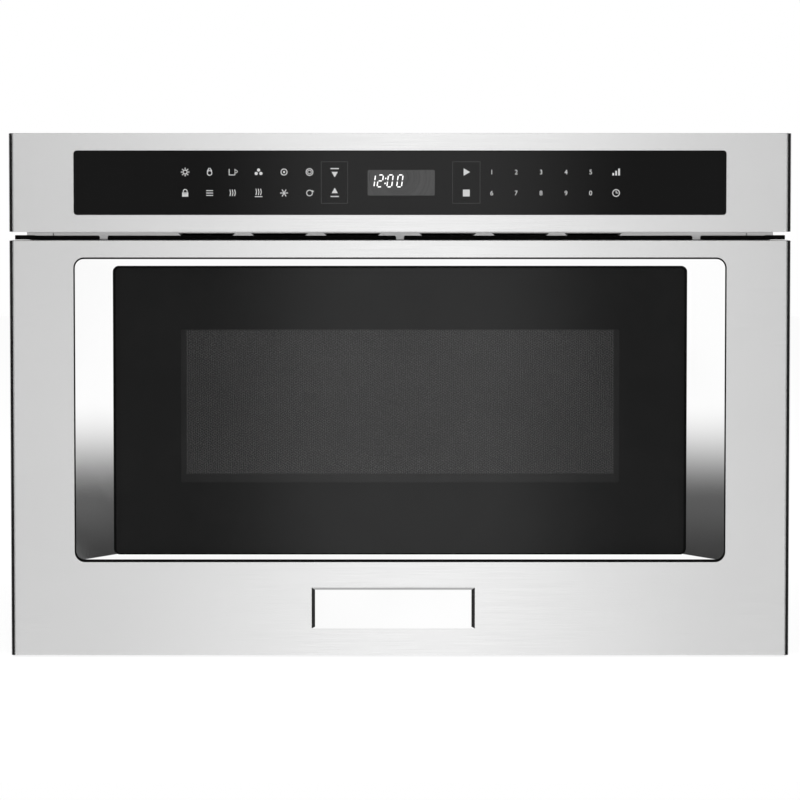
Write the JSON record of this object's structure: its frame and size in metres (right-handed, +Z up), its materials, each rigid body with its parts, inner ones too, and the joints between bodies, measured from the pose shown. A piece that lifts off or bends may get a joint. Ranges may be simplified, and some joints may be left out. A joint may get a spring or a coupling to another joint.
{
  "type": "microwave drawer",
  "caption": "Built-in microwave oven whose whole front pulls out as a motor-driven drawer under a touch control panel.",
  "frame": {"origin": "middle of the plan outline, at the level of the runners that the case stands on", "axes": "+X to the right seen from the front, the front faces -Y, +Z up"},
  "size_m": [0.606, 0.594, 0.4075],
  "materials": {
    "brushed_steel": "brushed",
    "polished_steel": "polished",
    "black_glass": "gloss",
    "clear_glass": "gloss",
    "black_screen": "satin",
    "sheet_steel": "satin",
    "vent_steel": "satin",
    "cavity_steel": "satin",
    "grey_enamel": "satin",
    "black_plastic": "matte",
    "display": "gloss",
    "circuit_board": "gloss",
    "mica": "matte",
    "ceramic": "satin",
    "aluminium": "satin",
    "zinc_steel": "satin",
    "core_steel": "satin",
    "copper_winding": "satin",
    "white_plastic": "matte",
    "bulb_glass": "gloss",
    "rubber": "matte"
  },
  "bodies": {
    "case": {"control_panel_fascia": "brushed_steel", "control_glass": "black_glass", "touch_sensor_sheet": "black_plastic", "display_module": "display", "control_board": "circuit_board", "control_housing": "black_plastic", "vent_grille": "vent_steel", "front_frame": "sheet_steel", "left_side_panel": "zinc_steel", "right_side_panel": "zinc_steel", "top_cover": "zinc_steel", "base_plate": "zinc_steel", "base_runners": "zinc_steel", "rear_panel": "zinc_steel", "cord_bushing": "black_plastic", "case_screws": "polished_steel", "cavity": "cavity_steel", "ceiling_cover": "mica", "lamp_housing": "sheet_steel", "lamp_bulb": "bulb_glass", "waveguide": "zinc_steel", "magnetron_yoke": "zinc_steel", "magnetron_anode": "aluminium", "magnetron_filter_box": "zinc_steel", "stirrer_motor": "zinc_steel", "fan_shroud": "white_plastic", "fan_motor": "core_steel", "transformer_core": "core_steel", "transformer_windings": "copper_winding", "high_voltage_capacitor": "aluminium", "capacitor_clamp": "zinc_steel", "noise_filter_board": "circuit_board", "outer_rails": "zinc_steel", "drive_gearbox": "black_plastic", "drive_motor": "zinc_steel", "interlock_switches": "black_plastic"},
    "drawer": {"drawer_front_skin": "brushed_steel", "recess_bezel": "polished_steel", "door_glass": "clear_glass", "window_screen": "black_screen", "glass_gasket": "rubber", "badge_plate": "polished_steel", "door_frame": "sheet_steel", "choke_cover": "black_plastic", "inner_glass": "clear_glass", "drawer_bumpers": "rubber", "drawer_tray": "grey_enamel", "ceramic_floor": "ceramic", "drawer_brackets": "zinc_steel", "drawer_screws": "polished_steel", "inner_rails": "zinc_steel", "drive_rack": "white_plastic", "switch_actuators": "black_plastic"},
    "middle_slides": {"middle_rails": "zinc_steel", "slide_balls": "polished_steel"},
    "pinion": {"drive_pinion": "white_plastic"},
    "fan": {"fan_wheel": "white_plastic"},
    "stirrer": {"stirrer": "aluminium"},
    "left_plunger": {"left_switch_plunger": "white_plastic"},
    "right_plunger": {"right_switch_plunger": "white_plastic"}
  },
  "joints": [
    {"name": "drawer_slide", "type": "slide", "parent": "case", "child": "drawer", "axis": [0, -1, 0], "range_m": [0, 0.38]},
    {"name": "middle_slide", "type": "slide", "parent": "case", "child": "middle_slides", "axis": [0, -1, 0], "range_m": [0, 0.19]},
    {"name": "pinion_spin", "type": "hinge", "parent": "case", "child": "pinion", "pos_m": [0, -0.2365, 0.038], "axis": [0, 0, 1], "range_deg": [-1613.77, 0]},
    {"name": "fan_spin", "type": "hinge", "parent": "case", "child": "fan", "pos_m": [-0.108, 0.23725, 0.2585], "axis": [1, 0, 0], "continuous": true},
    {"name": "stirrer_spin", "type": "hinge", "parent": "case", "child": "stirrer", "pos_m": [0, -0.0405, 0.28], "axis": [0, 0, 1], "continuous": true},
    {"name": "left_plunger_travel", "type": "slide", "parent": "case", "child": "left_plunger", "axis": [0, 1, 0], "range_m": [0, 0.001], "stiffness_N_per_m": 400, "springref_m": -0.002},
    {"name": "right_plunger_travel", "type": "slide", "parent": "case", "child": "right_plunger", "axis": [0, 1, 0], "range_m": [0, 0.001], "stiffness_N_per_m": 400, "springref_m": -0.002}
  ],
  "couplings": [
    {"joint": "middle_slide", "follows": "drawer_slide", "ratio": 0.5},
    {"joint": "pinion_spin", "follows": "drawer_slide", "rad_per_m": -74.074}
  ]
}
